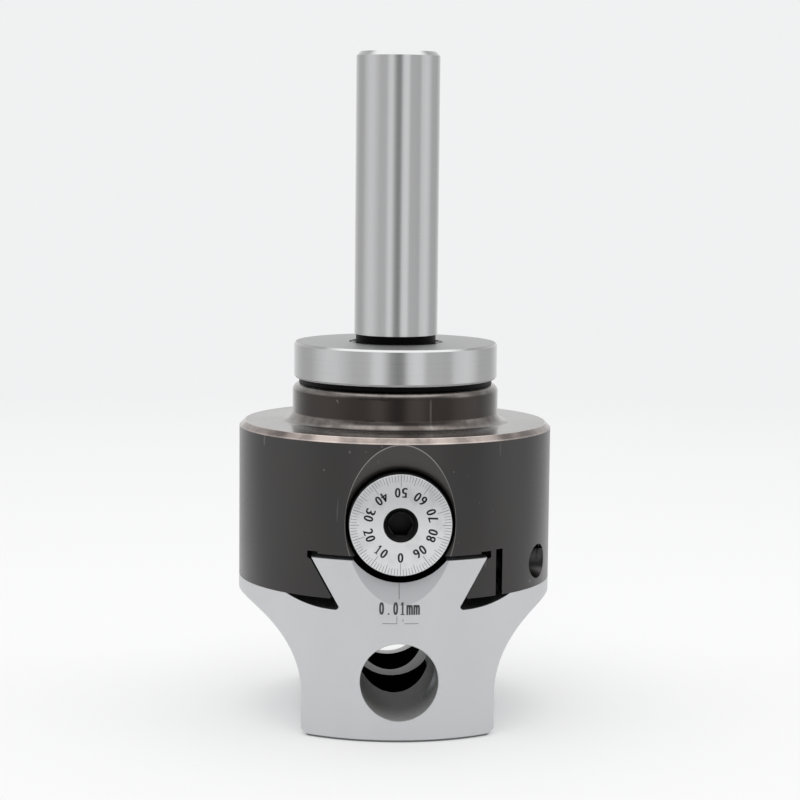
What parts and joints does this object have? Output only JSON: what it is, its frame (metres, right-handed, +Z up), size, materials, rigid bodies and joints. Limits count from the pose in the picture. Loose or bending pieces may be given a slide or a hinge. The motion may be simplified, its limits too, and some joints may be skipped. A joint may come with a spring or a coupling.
{
  "type": "boring head",
  "caption": "Dovetail-slide boring head with a graduated adjusting dial, three tool bores and a straight shank arbor.",
  "frame": {"origin": "centre of the bar slide's bottom face, on the head's turning axis, with the slide at zero offset", "axes": "+Z up the turning axis towards the shank's end, -Y out of the graduated dial, +X towards the gib and clamp screws"},
  "size_m": [0.075, 0.075, 0.1582],
  "materials": {
    "black_oxide_steel": "black oxide, satin",
    "ground_steel": "ground, bright",
    "ground_slide_steel": "satin ground and plated",
    "satin_chrome": "satin chrome, black filled graduations",
    "blackened_screw_steel": "black oxide",
    "plain_steel": "ground",
    "bronze": "machined bearing bronze",
    "brass": "machined brass"
  },
  "bodies": {
    "head": {"arbor": "ground_steel", "head_body": "black_oxide_steel", "front_bush": "bronze", "rear_bush": "bronze", "dial_thrust_washer": "plain_steel", "rear_thrust_washer": "plain_steel"},
    "dial_and_screw": {"lead_screw": "blackened_screw_steel", "graduated_dial": "satin_chrome", "dial_grub_screw": "blackened_screw_steel", "retaining_nut": "blackened_screw_steel", "jam_nut": "blackened_screw_steel"},
    "slide": {"bar_slide": "ground_slide_steel", "feed_nut": "bronze"},
    "front_gib_screw": {"gib_screw_front": "blackened_screw_steel"},
    "rear_gib_screw": {"gib_screw_rear": "blackened_screw_steel"},
    "lock_screw": {"slide_lock_screw": "blackened_screw_steel", "lock_pad": "brass"},
    "front_clamp_screw": {"clamp_screw_front": "blackened_screw_steel"},
    "centre_clamp_screw": {"clamp_screw_centre": "blackened_screw_steel"},
    "offset_clamp_screw": {"clamp_screw_offset": "blackened_screw_steel"}
  },
  "joints": [
    {"name": "dial_turn", "type": "hinge", "parent": "head", "child": "dial_and_screw", "pos_m": [0, -0.031, 0.0504], "axis": [0, -1, 0], "range_deg": [0, 5760]},
    {"name": "slide_travel", "type": "slide", "parent": "head", "child": "slide", "axis": [0, 1, 0], "range_m": [0, 0.016]},
    {"name": "gib_front_advance", "type": "slide", "parent": "head", "child": "front_gib_screw", "axis": [1, 0, 0], "range_m": [0, 0.0025]},
    {"name": "gib_rear_advance", "type": "slide", "parent": "head", "child": "rear_gib_screw", "axis": [1, 0, 0], "range_m": [0, 0.0025]},
    {"name": "lock_advance", "type": "slide", "parent": "head", "child": "lock_screw", "axis": [1, 0, 0], "range_m": [0, 0.0025]},
    {"name": "clamp_front_advance", "type": "slide", "parent": "slide", "child": "front_clamp_screw", "axis": [-1, 0, 0], "range_m": [-0.003, 0.0011]},
    {"name": "clamp_centre_advance", "type": "slide", "parent": "slide", "child": "centre_clamp_screw", "axis": [-1, 0, 0], "range_m": [-0.003, 0.0011]},
    {"name": "clamp_offset_advance", "type": "slide", "parent": "slide", "child": "offset_clamp_screw", "axis": [-1, 0, 0], "range_m": [-0.003, 0.0011]}
  ],
  "couplings": [
    {"joint": "dial_turn", "follows": "slide_travel", "rad_per_m": 6283.2}
  ]
}
